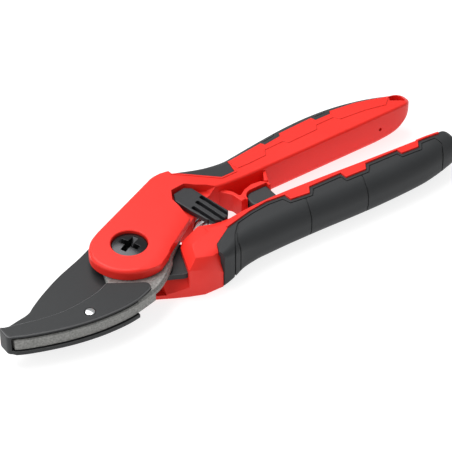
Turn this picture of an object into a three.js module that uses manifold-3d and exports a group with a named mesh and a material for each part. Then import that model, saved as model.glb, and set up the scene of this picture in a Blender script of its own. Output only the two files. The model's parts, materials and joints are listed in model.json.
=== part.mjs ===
// Bypass pruning shears, closed and locked, lying on their side. Millimetres, +Z up.
// Drawn about the pivot: the jaws point along -X, the handles along +X, and the upper
// handle (which carries the anvil arm) is on the +Y side. The last lines move the whole
// tool so that the origin is the centre of the bottom of its bounding box.
import * as THREE from "three";
import { mergeVertices } from "three/addons/utils/BufferGeometryUtils.js";
import Module from "manifold-3d";

const wasm = await Module();
wasm.setup();

// ---------------------------------------------------------------- driving sizes
const jawReach = 62.5; // pivot to the tip of the jaws
const handleReach = 145.3; // pivot to the ends of the handles
const gripStart = 60; // pivot to where the handles run straight
const headRadius = 16.4; // round end of the upper handle's head, about the pivot
const flangeRadius = 15.4; // round end of the lower handle's flange, under the blade
const discRadius = 14.4; // round part of the blade and of the arm, about the pivot
const flangeHeight = 7.9; // plastic of the lower handle under the blade
const bladeThickness = 2.5;
const armThickness = 2.6;
const headPlate = 4.3; // plastic of the upper handle over the arm
const coverSheet = 0.9; // sheet that covers the arm
const footProud = 0.7; // how far the foot stands out beyond the rib
const coverFoot = 2; // folded foot of the cover, under the rib of the arm
const ribWidth = 3.6; // rib along the outer edge of the arm, beside the blade
const upperFloor = 1.5; // underside of the upper handle
const upperTop = 17; // top of the upper handle behind its head
const lowerTop = 17.6; // top of the lower handle
const gripWall = 2.2; // soft skin on the handles
const screwHeadRadius = 6.8;
const screwHeadRise = 2.6; // height of the domed screw head
const screwShankRadius = 3;
const washerThickness = 0.8;
const bushWall = 1.4;
const nutRadius = 4.7; // to its corners
const nutHeight = 3.6;
const springOuterRadius = 4.4;
const springWire = 1.1;
const springTurns = 5.5;
const leverThickness = 2.3;
const leverHalfWidth = 5.5;
const leverReach = 20.4; // lever pin to the lever's nose
const pinRadius = 1.6; // pins that hold the tangs in the handles
const rivetRadius = 1.9; // rivet that holds the cover on the arm
const bumperLength = 11;
const bumperHeight = 10;
const slack = 0.3; // clearance between neighbouring pieces
const slip = 0.2; // clearance between the flat plates of the stack

// levels of the stack at the pivot, from the underside up
const lowerFloor = 1;
const flangeTop = lowerFloor + flangeHeight;
const bladeFloor = flangeTop + slack;
const bladeTop = bladeFloor + bladeThickness;
const armFloor = bladeTop + slip;
const armTop = armFloor + armThickness;
const headFloor = armTop + slip;
const headTop = headFloor + headPlate;
const washerFloor = armTop + slip / 2;
const screwSeat = washerFloor + washerThickness + slip / 2;
const screwHoleRadius = screwHeadRadius + 0.4;

// lever and spring stations
const leverPin = { x: 33.9, y: 11.8 };
const leverTop = headTop - 1.1;
const leverFloor = leverTop - leverThickness;
const springX = 35.5;
const springZ = armFloor - springOuterRadius - 0.5;
const springUpperY = 8.2; // upper seat
const springLowerY = -9.6; // lower seat
const seatDisc = 1.2; // thickness of a seat's cap
const seatRadius = springOuterRadius + 0.2;
const seatHole = seatRadius + slack;

// ---------------------------------------------------------------- materials
const paint = (color, roughness, metalness) =>
  new THREE.MeshStandardMaterial({ color, roughness, metalness });
const redPlastic = paint(0xe8392e, 0.42, 0);
const softBlack = paint(0x3b3d3f, 0.75, 0);
const coatedSteel = paint(0x44464a, 0.5, 0.5);
const greyMetal = paint(0x7d7f7c, 0.55, 0.9);
const darkChrome = paint(0x2c2d30, 0.2, 1);
const brightSteel = paint(0xc9cbcc, 0.25, 1);
const blackPlastic = paint(0x2d2f31, 0.55, 0);

// ---------------------------------------------------------------- geometry helpers
const tool = new THREE.Group();

// a closed three.js geometry as a solid
function solid(geometry) {
  const bare = new THREE.BufferGeometry();
  bare.setAttribute("position", geometry.getAttribute("position"));
  if (geometry.index) bare.setIndex(geometry.index);
  const merged = mergeVertices(bare, 1e-4);
  const index = merged.index.array;
  const kept = [];
  for (let i = 0; i < index.length; i += 3) {
    const [a, b, c] = [index[i], index[i + 1], index[i + 2]];
    if (a !== b && b !== c && c !== a) kept.push(a, b, c);
  }
  return new wasm.Manifold(
    new wasm.Mesh({
      numProp: 3,
      vertProperties: new Float32Array(merged.attributes.position.array),
      triVerts: new Uint32Array(kept),
    }),
  );
}

// adds a solid to the tool as a named mesh
function addPiece(name, made, material) {
  const mesh = made.getMesh();
  const geometry = new THREE.BufferGeometry();
  geometry.setAttribute(
    "position",
    new THREE.BufferAttribute(new Float32Array(mesh.vertProperties), 3),
  );
  geometry.setIndex(new THREE.BufferAttribute(new Uint32Array(mesh.triVerts), 1));
  geometry.computeVertexNormals();
  const piece = new THREE.Mesh(geometry, material);
  piece.name = name;
  tool.add(piece);
  return piece;
}

// an upright slab of an outline between two levels
function slab(shape, floor, top, steps = 8) {
  const geometry = new THREE.ExtrudeGeometry(shape, {
    depth: top - floor,
    bevelEnabled: false,
    curveSegments: steps,
  });
  return solid(geometry.translate(0, 0, floor));
}

// the same with its edges cut back at 45 degrees, or rounded, by `cut`
function bevelledSlab(shape, floor, top, cut, rounds = 1, steps = 8) {
  const geometry = new THREE.ExtrudeGeometry(shape, {
    depth: top - floor - 2 * cut,
    bevelEnabled: true,
    bevelThickness: cut,
    bevelSize: cut,
    bevelOffset: -cut,
    bevelSegments: rounds,
    curveSegments: steps,
  });
  return solid(geometry.translate(0, 0, floor + cut));
}

// an upright round bar
function bar(radius, floor, top, x = 0, y = 0, sides = 36) {
  const geometry = new THREE.CylinderGeometry(radius, radius, top - floor, sides);
  geometry.rotateX(Math.PI / 2);
  return solid(geometry.translate(x, y, (floor + top) / 2));
}

// a round bar along Y
function barAlongY(radius, from, to, x, z, sides = 28) {
  const geometry = new THREE.CylinderGeometry(radius, radius, to - from, sides);
  return solid(geometry.translate(x, (from + to) / 2, z));
}

// a body turned about an upright axis, from its half profile
function turned(profile, x = 0, y = 0, sides = 40) {
  const points = profile.map(([r, z]) => new THREE.Vector2(r, z));
  const geometry = new THREE.LatheGeometry(points, sides);
  geometry.rotateX(Math.PI / 2);
  return solid(geometry.translate(x, y, 0));
}

// a straight-sided outline
function polygon(points) {
  return new THREE.Shape(points.map(([x, y]) => new THREE.Vector2(x, y)));
}

const vectors = (points) => points.map(([x, y]) => new THREE.Vector2(x, y));

// a smooth value along x through a few stations [x, value]
function along(stations, x) {
  const last = stations.length - 1;
  if (x <= stations[0][0]) return stations[0][1];
  if (x >= stations[last][0]) return stations[last][1];
  let i = 0;
  while (x > stations[i + 1][0]) i += 1;
  const slope = (j) => {
    const a = stations[Math.max(j - 1, 0)];
    const b = stations[Math.min(j + 1, last)];
    return (b[1] - a[1]) / (b[0] - a[0]);
  };
  const [x0, y0] = stations[i];
  const [x1, y1] = stations[i + 1];
  const w = x1 - x0;
  const t = (x - x0) / w;
  const h00 = (1 + 2 * t) * (1 - t) ** 2;
  const h10 = t * (1 - t) ** 2;
  const h01 = t * t * (3 - 2 * t);
  const h11 = t * t * (t - 1);
  return h00 * y0 + h10 * w * slope(i) + h01 * y1 + h11 * w * slope(i + 1);
}

// A bar along X whose section is flat on one side and rounded on the other.
// side is +1 when the round side faces +Y. flat(x), round(x), floor(x), top(x) give the
// section's limits and corner(x) the radius of the two outer corners.
function handleBar(xs, side, { flat, round, floor, top, corner, edge }) {
  const rings = xs.map((x) => {
    const [y0, y1, z0, z1] = [flat(x), round(x), floor(x), top(x)];
    const r = Math.min(corner(x), (z1 - z0) / 2.02, Math.abs(y1 - y0) * 0.7);
    const e = Math.min(edge, r);
    const ring = [
      [y0 + side * e, z0],
      [y0, z0 + e],
      [y0, z1 - e],
      [y0 + side * e, z1],
    ];
    for (let i = 0; i <= 5; i += 1) {
      const a = (i / 5) * (Math.PI / 2);
      ring.push([y1 - side * r * (1 - Math.sin(a)), z1 - r * (1 - Math.cos(a))]);
    }
    for (let i = 0; i <= 5; i += 1) {
      const a = (i / 5) * (Math.PI / 2);
      ring.push([y1 - side * r * (1 - Math.cos(a)), z0 + r * (1 - Math.sin(a))]);
    }
    return ring.map(([y, z]) => [x, y, z]);
  });
  const n = rings[0].length;
  const position = rings.flat(2);
  const index = [];
  const quad = (a, b, c, d) => {
    if (side > 0) index.push(a, b, c, a, c, d);
    else index.push(a, c, b, a, d, c);
  };
  for (let k = 0; k < rings.length - 1; k += 1) {
    for (let i = 0; i < n; i += 1) {
      const j = (i + 1) % n;
      quad(k * n + i, (k + 1) * n + i, (k + 1) * n + j, k * n + j);
    }
  }
  const capAt = (k, flip) => {
    for (let i = 1; i < n - 1; i += 1) {
      const tri = [k * n, k * n + i, k * n + i + 1];
      if (flip) tri.reverse();
      index.push(...tri);
    }
  };
  capAt(0, side < 0);
  capAt(rings.length - 1, side > 0);
  const geometry = new THREE.BufferGeometry();
  geometry.setAttribute("position", new THREE.Float32BufferAttribute(position, 3));
  geometry.setIndex(index);
  return solid(geometry);
}

const stepsBetween = (from, to, count) =>
  Array.from({ length: count + 1 }, (_, i) => from + ((to - from) * i) / count);

// ---------------------------------------------------------------- shared outlines
// places along the jaw, and along the grip from where it starts behind the head
const jawX = (t) => -jawReach * t;
const gripX = (t) => gripStart + (handleReach - gripStart) * t;

// inner edge of the jaw: edge of the arm and of its cover, from tip to heel
const jawInner = [
  [jawX(0.965), -9.6],
  [jawX(0.84), -11.8],
  [jawX(0.745), -13.3],
  [jawX(0.62), -14.6],
  [jawX(0.5), -14.2],
  [jawX(0.37), -12.8],
  [jawX(0.275), -10.4],
];
// outer edge of the jaw, from heel to tip
const jawOuter = [
  [jawX(-0.088), -18.2],
  [jawX(-0.02), -21.2],
  [jawX(0.06), -23.5],
  [jawX(0.2), -25.4],
  [jawX(0.31), -26.1],
  [jawX(0.47), -25.7],
  [jawX(0.63), -24],
  [jawX(0.77), -21.5],
  [jawX(0.9), -18.5],
  [jawX(0.965), -16.5],
];

// ---------------------------------------------------------------- anvil arm
// A sintered steel plate. Its jaw is the counter-blade, its middle is a disc under the
// head, and its tang is moulded into the upper handle.
const armTang = (c) =>
  polygon([
    [8, -4 - c],
    [27, 3.2 - c],
    [36, 8 - c],
    [44, 12.2 - c],
    [56 + c, 13.4 - c],
    [56 + c, 18.2 + c],
    [30, 20 + c],
    [4, 12 + c],
  ]);
function armOutline() {
  const shape = new THREE.Shape();
  shape.moveTo(...jawInner[0]);
  shape.splineThru(vectors(jawInner.slice(1)));
  shape.quadraticCurveTo(-15.5, -7.5, -discRadius * 0.97, -discRadius * 0.24);
  shape.absarc(0, 0, discRadius, Math.PI * 1.08, Math.PI * 0.42, true);
  shape.lineTo(20, 6);
  shape.lineTo(20, -4.6);
  shape.lineTo(11.6, -11.6);
  shape.quadraticCurveTo(11, -13.6, jawOuter[0][0], jawOuter[0][1]);
  shape.splineThru(vectors(jawOuter.slice(1)));
  shape.closePath();
  return shape;
}
function ribOutline() {
  const shape = new THREE.Shape();
  const outer = jawOuter.slice(2);
  shape.moveTo(...outer[0]);
  shape.splineThru(vectors(outer.slice(1)));
  const inner = outer.map(([x, y]) => [x, y + ribWidth]).reverse();
  inner[0][1] = outer[outer.length - 1][1] + ribWidth * 0.8;
  shape.lineTo(...inner[0]);
  shape.splineThru(vectors(inner.slice(1)));
  shape.closePath();
  return shape;
}
const rivetSpot = { x: jawX(0.49), y: -20.6 };
const armPins = [
  { x: 26, y: 11.6 },
  { x: 50, y: 15.8 },
];
let arm = slab(armOutline(), armFloor, armTop, 3);
arm = arm.add(slab(armTang(0), armFloor, armTop));
arm = arm.add(slab(ribOutline(), bladeFloor, armFloor + 0.5, 3));
arm = arm.subtract(bar(screwShankRadius + slip, armFloor - 1, armTop + 1));
arm = arm.subtract(
  bar(rivetRadius + slip, bladeFloor - 1, armTop + 1, rivetSpot.x, rivetSpot.y, 20),
);
for (const { x, y } of armPins) {
  arm = arm.subtract(bar(pinRadius + slip, armFloor - 1, armTop + 1, x, y, 16));
}
arm = arm.subtract(bar(pinRadius + slip, armFloor - 1, armTop + 1, leverPin.x, leverPin.y, 16));
addPiece("anvil_arm", arm, greyMetal);

// ---------------------------------------------------------------- anvil cover
// One coated sheet folded round the tip: a top plate with a rounded heel, an end wall and
// a foot under the rib. The outer side stays open, so the arm shows there.
const coverTipX = jawX(1);
function coverTopOutline() {
  const shape = new THREE.Shape();
  shape.moveTo(coverTipX + 0.8, -9);
  shape.lineTo(...jawInner[0]);
  shape.splineThru(vectors(jawInner.slice(1)));
  shape.lineTo(-7.3, -17);
  shape.quadraticCurveTo(-4.6, -18.6, -4.2, -20.4);
  shape.quadraticCurveTo(-4.6, -22.2, -7.8, -23.8);
  shape.splineThru(vectors(jawOuter.slice(3).map(([x, y]) => [x, y + 0.3])));
  shape.lineTo(coverTipX + 0.8, -16.2);
  shape.quadraticCurveTo(coverTipX, -16, coverTipX, -15.2);
  shape.lineTo(coverTipX, -9.8);
  shape.closePath();
  return shape;
}
function coverFootOutline() {
  const shape = new THREE.Shape();
  const outer = jawOuter.slice(3).map(([x, y]) => [x, y - footProud]);
  shape.moveTo(...outer[0]);
  shape.splineThru(vectors(outer.slice(1)));
  shape.lineTo(coverTipX + 0.8, -16.6);
  shape.quadraticCurveTo(coverTipX, -16.4, coverTipX, -15.4);
  shape.lineTo(coverTipX, -9.8);
  shape.lineTo(coverTipX + 0.8, -9);
  shape.lineTo(jawX(0.94), -10.2);
  const inner = outer.map(([x, y]) => [x, y + footProud + ribWidth + 2]).reverse();
  shape.splineThru(vectors(inner.slice(1)));
  shape.closePath();
  return shape;
}
const coverFloor = flangeTop - coverFoot;
const coverTop = headFloor + coverSheet;
let cover = slab(coverTopOutline(), headFloor, coverTop, 3);
cover = cover.add(slab(coverFootOutline(), coverFloor, flangeTop, 3));
const endWall = polygon([
  [coverTipX, -9.8],
  [coverTipX, -15.2],
  [coverTipX + 0.8, -16.2],
  [coverTipX + 1.6, -16.2],
  [coverTipX + 1.6, -9.3],
  [coverTipX + 0.8, -9],
]);
cover = cover.add(slab(endWall, coverFloor + 0.2, coverTop - 0.2));
cover = cover.subtract(
  bar(rivetRadius + slip, coverFloor - 1, coverTop + 1, rivetSpot.x, rivetSpot.y, 20),
);
addPiece("anvil_cover", cover, coatedSteel);

// rivet through the cover, the arm's rib and the foot
addPiece(
  "cover_rivet",
  bar(rivetRadius, coverFloor + 0.2, coverTop + 0.1, rivetSpot.x, rivetSpot.y, 20),
  brightSteel,
);

// ---------------------------------------------------------------- blade
// A curved blade of coated steel that slides under the arm, with a tang in the lower
// handle. It carries the pivot bush.
const bushRadius = screwShankRadius + slip + bushWall;
const bladePins = [
  { x: 27, y: -16 },
  { x: 48, y: -16.4 },
];
const bladeTang = (c) =>
  polygon([
    [6, -13 - c],
    [24, -19.4 - c],
    [54 + c, -20 - c],
    [54 + c, -12.6 + c],
    [26, -12 + c],
    [13, 2 + c],
  ]);
function bladeOutline() {
  const shape = new THREE.Shape();
  const cutting = [
    [jawX(0.9), -12],
    [jawX(0.75), -17],
    [jawX(0.62), -18.8],
    [jawX(0.5), -18.6],
    [jawX(0.34), -16.6],
    [jawX(0.17), -13],
  ];
  const back = [
    [jawX(0.145), 13.6],
    [jawX(0.26), 10.4],
    [jawX(0.45), 6],
    [jawX(0.6), 1.4],
    [jawX(0.7), -2.3],
    [jawX(0.765), -4.9],
    [jawX(0.85), -5.9],
    [jawX(0.91), -6.6],
  ];
  shape.moveTo(...cutting[0]);
  shape.splineThru(vectors(cutting.slice(1)));
  shape.absarc(0, 0, discRadius, Math.PI * 1.3, Math.PI * 2.5, false);
  shape.lineTo(-4, 15.2);
  shape.lineTo(...back[0]);
  shape.splineThru(vectors(back.slice(1)));
  shape.quadraticCurveTo(jawX(0.935), -8.6, cutting[0][0], cutting[0][1]);
  return shape;
}
let blade = slab(bladeOutline(), bladeFloor, bladeTop, 3);
blade = blade.add(slab(bladeTang(0), bladeFloor, bladeTop));
blade = blade.subtract(bar(bushRadius + slip, bladeFloor - 1, bladeTop + 1));
for (const { x, y } of bladePins) {
  blade = blade.subtract(bar(pinRadius + slip, bladeFloor - 1, bladeTop + 1, x, y, 16));
}
addPiece("blade", blade, coatedSteel);

// ---------------------------------------------------------------- upper handle
// Red moulding: a rounded head over the arm, a deep middle that holds the arm's tang and
// the lock lever, a bracket for the bumper, and a slim grip bar with a pocket at its end.
const upperFlat = [
  [30, 2],
  [42, 9],
  [50, 9.3],
  [gripX(0.865), 9.4],
  [gripX(0.942), 9.9],
  [gripX(0.994), 11.4],
  [gripX(1), 13],
];
const upperRound = [
  [30, 28.6],
  [38, 27.8],
  [47, 25.6],
  [56, 24.8],
  [64, 25.3],
  [gripX(0.227), 27.4],
  [gripX(0.365), 28.6],
  [gripX(0.503), 29],
  [gripX(0.641), 28.2],
  [gripX(0.778), 25.9],
  [gripX(0.9), 22.6],
  [gripX(0.985), 19],
  [gripX(1), 16.6],
];
const upperTopLine = [
  [38, headTop],
  [44, headTop - 0.6],
  [52, upperTop + 0.6],
  [66, upperTop],
  [gripX(1), upperTop],
];
// both bars are domed towards their ends
const endRise = [
  [gripX(0.778), 0],
  [gripX(0.917), 0.9],
  [gripX(1), 4],
];
const endFall = [
  [gripX(0.848), 0],
  [gripX(0.934), 0.6],
  [gripX(1), 3],
];
const upperSection = (inset, rise) => ({
  flat: (x) => along(upperFlat, x),
  round: (x) => along(upperRound, x) - inset,
  floor: (x) => upperFloor + rise + along(endRise, x),
  top: (x) => along(upperTopLine, x) - rise - along(endFall, x),
  corner: () => 6 - inset / 2,
  edge: 0.9,
});
const upperStations = [34, 38, 42, 46, 50, 56, 64].concat(
  stepsBetween(gripX(0.123), gripX(0.917), 11),
  [gripX(0.96), gripX(0.994), gripX(1)],
);
// soft skin of the upper handle: its border steps round three red tabs
const upperSkin = polygon([
  [35.6, 40],
  [35.6, 25.6],
  [51.2, 14.6],
  [56.9, 14.9],
  [59.3, 20.6],
  [gripX(0.198), 22.6],
  [gripX(0.209), 20.7],
  [gripX(0.303), 21.7],
  [gripX(0.312), 23.4],
  [gripX(0.505), 24.2],
  [gripX(0.513), 21.9],
  [gripX(0.599), 21.8],
  [gripX(0.61), 23.5],
  [gripX(0.753), 22],
  [gripX(0.917), 18],
  [gripX(0.917), 40],
]);
function headOutline() {
  const shape = new THREE.Shape();
  const from = -Math.PI * 0.42;
  shape.moveTo(headRadius * Math.cos(from), headRadius * Math.sin(from));
  shape.quadraticCurveTo(9, -13, 12, -10.2);
  shape.lineTo(36, 5.2);
  shape.lineTo(38, 8);
  shape.lineTo(38, 27.6);
  shape.lineTo(35, 28.2);
  shape.lineTo(28.4, 28.2);
  shape.lineTo(-6.5, 12.6);
  shape.quadraticCurveTo(-14.8, 8, -headRadius, 0);
  shape.absarc(0, 0, headRadius, Math.PI, from, false);
  return shape;
}
const deepOutline = polygon([
  [6.5, 17.9],
  [30, 2.3],
  [42, 9],
  [46, 12],
  [46, 25],
  [35, 27.6],
  [28.4, 27.6],
  [7.5, 18.6],
]);
const upperBarSolid = handleBar(upperStations, 1, upperSection(0, 0));
let upper = bevelledSlab(headOutline(), headTop - 6, headTop, 1.2, 1, 10);
upper = upper.trimByPlane([0, 0, 1], headFloor);
upper = upper.add(slab(deepOutline, upperFloor, headFloor + 1));
upper = upper.add(upperBarSolid);
const upperCore = handleBar(upperStations, 1, upperSection(gripWall + slack, gripWall * 0.5));
const skinZone = slab(upperSkin, upperFloor - 5, headTop + 5);
upper = upper.subtract(skinZone.subtract(upperCore));

// bracket that holds the bumper
const bumperX = 60.4;
const bumperBack = 3.4;
const bumperFloor = 3.6;
const bumperLeft = bumperX - bumperLength / 2;
const bumperRight = bumperX + bumperLength / 2;
const bracket = polygon([
  [47, 10.4],
  [bumperLeft - 1.9, 4.4],
  [bumperLeft - 1.9, 0.4],
  [bumperLeft - slack, 0.2],
  [bumperLeft - slack, bumperBack + slack],
  [bumperRight + slack, bumperBack + slack],
  [bumperRight + slack, 0.2],
  [bumperRight + 1.9, 0.2],
  [bumperRight + 2.6, 5.2],
  [bumperRight + 3.6, 10.4],
  [bumperRight + 1.4, 10.4],
  [bumperRight + 0.4, 6],
  [bumperLeft + 2.4, 6],
  [bumperLeft - 1.4, 10.4],
]);
upper = upper.add(slab(bracket, bumperFloor - 1, bumperFloor + bumperHeight - 0.4));

// openings in the upper handle
upper = upper.subtract(bar(screwHoleRadius, headFloor - 1, headTop + 1));
const leverRecess = polygon([
  [27.5, 11.8],
  [27.5, 0.4],
  [24, -10],
  [60, -10],
  [47.6, 8.6],
  [46.6, 9.2],
  [43.6, 12.1],
  [39.4, 14.8],
  [36.4, 17.3],
  [30.2, 16.8],
]);
upper = upper.subtract(slab(leverRecess, leverFloor - slack, headTop + 1));
upper = upper.subtract(slab(armTang(slack), armFloor - slip, armTop + slip));
upper = upper.subtract(barAlongY(seatHole, -20, springUpperY + slip, springX, springZ));
const upperPins = (c) => [
  bar(pinRadius + c, upperFloor + 3 - c, armTop + slip + 1.6 + c, armPins[0].x, armPins[0].y, 16),
  bar(pinRadius + c, upperFloor + 3 - c, armTop + slip + 1.2 + c, armPins[1].x, armPins[1].y, 16),
];
for (const hole of upperPins(slip)) upper = upper.subtract(hole);
const endPocket = polygon([
  [gripX(0.856), 10.9],
  [gripX(0.96), 12.7],
  [gripX(0.948), 16.4],
  [gripX(0.882), 16.6],
]);
upper = upper.subtract(slab(endPocket, upperTop - 6, upperTop + 3));
const cordHole = barAlongY(0.7, 6, 14, gripX(0.792), 9.6, 10);
upper = upper.subtract(cordHole);
// pin that the lock lever turns on, held in the head
const leverPinFloor = armFloor - 4;
upper = upper.subtract(
  bar(pinRadius + slip, leverPinFloor - slip, headTop + 1, leverPin.x, leverPin.y, 16),
);
addPiece("upper_handle", upper, redPlastic);
upperPins(0).forEach((pin, i) => addPiece(`arm_pin_${i + 1}`, pin, brightSteel));

// soft skin, pushed over the core of the upper handle
const upperCoreCut = handleBar(upperStations, 1, upperSection(gripWall, gripWall * 0.5 - slack));
const skinInset = polygon(
  upperSkin.getPoints().map(({ x, y }) => [x, y + slack]),
);
let upperGrip = upperBarSolid.intersect(slab(skinInset, upperFloor - 5, headTop + 5));
upperGrip = upperGrip.subtract(upperCoreCut);
addPiece("upper_grip", upperGrip, softBlack);

// rubber bumper that the handles close against
const bumperOutline = new THREE.Shape();
bumperOutline.moveTo(bumperRight, bumperBack);
bumperOutline.lineTo(bumperLeft + 1.8, bumperBack);
bumperOutline.quadraticCurveTo(bumperLeft, bumperBack, bumperLeft, bumperBack - 1.8);
bumperOutline.lineTo(bumperLeft, -5);
bumperOutline.lineTo(bumperRight, -5);
bumperOutline.closePath();
addPiece(
  "bumper",
  bevelledSlab(bumperOutline, bumperFloor, bumperFloor + bumperHeight, 0.5, 1, 4),
  softBlack,
);

// ---------------------------------------------------------------- lower handle
// Red moulding: a flange under the blade, a faceted head over the blade's tang and a grip
// bar. Its end is covered by the soft skin.
const lowerFlat = [
  [23, -8],
  [26, -7],
  [35.8, -9.4],
  [40, -8.2],
  [50, -7.2],
  [64, -7.1],
  [gripX(0.313), -8.5],
  [gripX(0.503), -9.8],
  [gripX(0.865), -11.9],
  [gripX(0.96), -12],
  [gripX(1), -12.8],
  [gripX(1), -13.8],
];
const lowerRound = [
  [22, -27.2],
  [26, -26.8],
  [34, -24.8],
  [46, -23.4],
  [62, -22.8],
  [gripX(0.188), -23.2],
  [gripX(0.365), -23.8],
  [gripX(0.538), -24.2],
  [gripX(0.745), -23.8],
  [gripX(0.882), -22.2],
  [gripX(0.968), -19.8],
  [gripX(1), -17],
];
const lowerSection = (inset, rise) => ({
  flat: (x) => along(lowerFlat, x) - (x > gripX(0.9) ? inset : 0),
  round: (x) => along(lowerRound, x) + inset,
  floor: (x) => lowerFloor + rise + along(endRise, x),
  top: (x) => lowerTop - rise - along(endFall, x),
  corner: () => 7 - inset / 2,
  edge: 0.9,
});
const lowerStations = [23, 26, 30, 34, 38, 42, 48, 56, 64].concat(
  stepsBetween(gripX(0.193), gripX(0.917), 10),
  [gripX(0.96), gripX(0.994), gripX(1)],
);
// the core ends short of the bar, so that the skin closes over it
const lowerCoreStations = (gap) =>
  lowerStations.filter((x) => x < gripX(0.951)).concat([gripX(1) - gripWall - gap]);
const lowerSkin = polygon([
  [24.3, -40],
  [24.5, -27],
  [26.9, -22],
  [28, -17.8],
  [36.2, -12.8],
  [48.2, -10],
  [57, -9],
  [gripX(0.061), -9.9],
  [gripX(0.061), -13.3],
  [gripX(0.163), -14.4],
  [gripX(0.186), -11.3],
  [gripX(0.364), -11.6],
  [gripX(0.367), -14.9],
  [gripX(0.476), -15.4],
  [gripX(0.499), -12.4],
  [gripX(0.68), -13],
  [gripX(0.684), -15.6],
  [gripX(0.777), -16.2],
  [gripX(0.802), -13.2],
  [gripX(0.925), -13.6],
  [gripX(0.951), 0],
  [gripX(1.2), 0],
  [gripX(1.2), -40],
]);
const lowerHead = polygon([
  [14.1, -20.5],
  [15.3, -13],
  [22.8, -7.4],
  [29.2, -4.9],
  [30.9, -6.8],
  [35.8, -9.2],
  [40, -8.2],
  [44, -10],
  [44, -22],
  [34, -25.4],
  [26, -26.6],
  [20, -26.2],
  [14.2, -24],
]);
function flangeOutline() {
  const shape = new THREE.Shape();
  const from = Math.PI * 0.17;
  shape.moveTo(flangeRadius * Math.cos(from), flangeRadius * Math.sin(from));
  shape.absarc(0, 0, flangeRadius, from, Math.PI * 1.46, false);
  shape.lineTo(7.3, -19.6);
  shape.lineTo(14, -23);
  shape.quadraticCurveTo(20, -26.4, 26, -26.2);
  shape.lineTo(34, -24);
  shape.lineTo(34, -10);
  shape.lineTo(25, -6);
  shape.closePath();
  return shape;
}
const lowerBarSolid = handleBar(lowerStations, -1, lowerSection(0, 0));
let lower = bevelledSlab(lowerHead, lowerFloor - 4, lowerTop, 3, 1);
lower = lower.trimByPlane([0, 0, 1], lowerFloor);
lower = lower.add(slab(flangeOutline(), lowerFloor, flangeTop, 10));
lower = lower.add(lowerBarSolid);
const stepOff = polygon([[-20, -9], [-20, -25], [4.2, -25], [4.2, -9]]);
lower = lower.subtract(slab(stepOff, flangeTop - 2, flangeTop + 0.1));
const lowerCore = handleBar(
  lowerCoreStations(slack),
  -1,
  lowerSection(gripWall + slack, gripWall * 0.5),
);
const lowerZone = slab(lowerSkin, lowerFloor - 5, lowerTop + 5);
lower = lower.subtract(lowerZone.subtract(lowerCore));
lower = lower.subtract(slab(bladeTang(slack), bladeFloor - slack, bladeTop + slack));
lower = lower.subtract(bar(screwShankRadius + slip, lowerFloor - 1, flangeTop + 1));
const nutPocket = nutRadius + 0.8;
lower = lower.subtract(bar(nutPocket, lowerFloor - 1, lowerFloor + nutHeight + 0.6));
lower = lower.subtract(barAlongY(seatHole, springLowerY - slip, 20, springX, springZ));
const lowerPins = (c) =>
  bladePins.map(({ x, y }) =>
    bar(pinRadius + c, lowerFloor + 2.5 - c, bladeTop + 3 + c, x, y, 16),
  );
for (const hole of lowerPins(slip)) lower = lower.subtract(hole);
addPiece("lower_handle", lower, redPlastic);
lowerPins(0).forEach((pin, i) => addPiece(`blade_pin_${i + 1}`, pin, brightSteel));

// soft skin of the lower handle, closed over its end
const lowerCoreCut = handleBar(
  lowerCoreStations(0),
  -1,
  lowerSection(gripWall, gripWall * 0.5 - slack),
);
const lowerInset = polygon(
  lowerSkin.getPoints().map(({ x, y }) => [x + (x < 28.5 ? slack : 0), y - slack]),
);
let lowerGrip = lowerBarSolid.intersect(slab(lowerInset, lowerFloor - 5, lowerTop + 5));
lowerGrip = lowerGrip.subtract(lowerCoreCut);
addPiece("lower_grip", lowerGrip, softBlack);

// ---------------------------------------------------------------- pivot
// Domed cross-recess screw, its washer, the bush in the blade and the nut in the flange.
const domeTop = screwSeat + screwHeadRise;
const nutFloor = lowerFloor + 0.2;
let screw = turned([
  [0, nutFloor + 0.2],
  [screwShankRadius - 0.4, nutFloor + 0.2],
  [screwShankRadius, nutFloor + 0.6],
  [screwShankRadius, screwSeat],
  [screwHeadRadius, screwSeat],
  [screwHeadRadius, screwSeat + screwHeadRise * 0.35],
  [screwHeadRadius * 0.86, screwSeat + screwHeadRise * 0.72],
  [screwHeadRadius * 0.55, screwSeat + screwHeadRise * 0.93],
  [0, domeTop],
]);
for (const turn of [0.42, 0.42 + Math.PI / 2]) {
  const slot = new THREE.BoxGeometry(screwHeadRadius * 1.1, 1.5, 1.9);
  slot.rotateZ(turn);
  screw = screw.subtract(solid(slot.translate(0, 0, domeTop - 0.6)));
}
addPiece("pivot_screw", screw, darkChrome);
const ring = (outer, inner, floor, top, sides = 36) =>
  bar(outer, floor, top, 0, 0, sides).subtract(bar(inner, floor - 1, top + 1));
addPiece(
  "screw_washer",
  ring(screwHeadRadius, screwShankRadius + slip, washerFloor, washerFloor + washerThickness),
  brightSteel,
);
addPiece(
  "pivot_bush",
  ring(bushRadius, screwShankRadius + slip, bladeFloor + 0.05, bladeTop - 0.05),
  brightSteel,
);
addPiece(
  "pivot_nut",
  ring(nutRadius, screwShankRadius + slip, nutFloor, nutFloor + nutHeight, 6),
  brightSteel,
);

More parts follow.
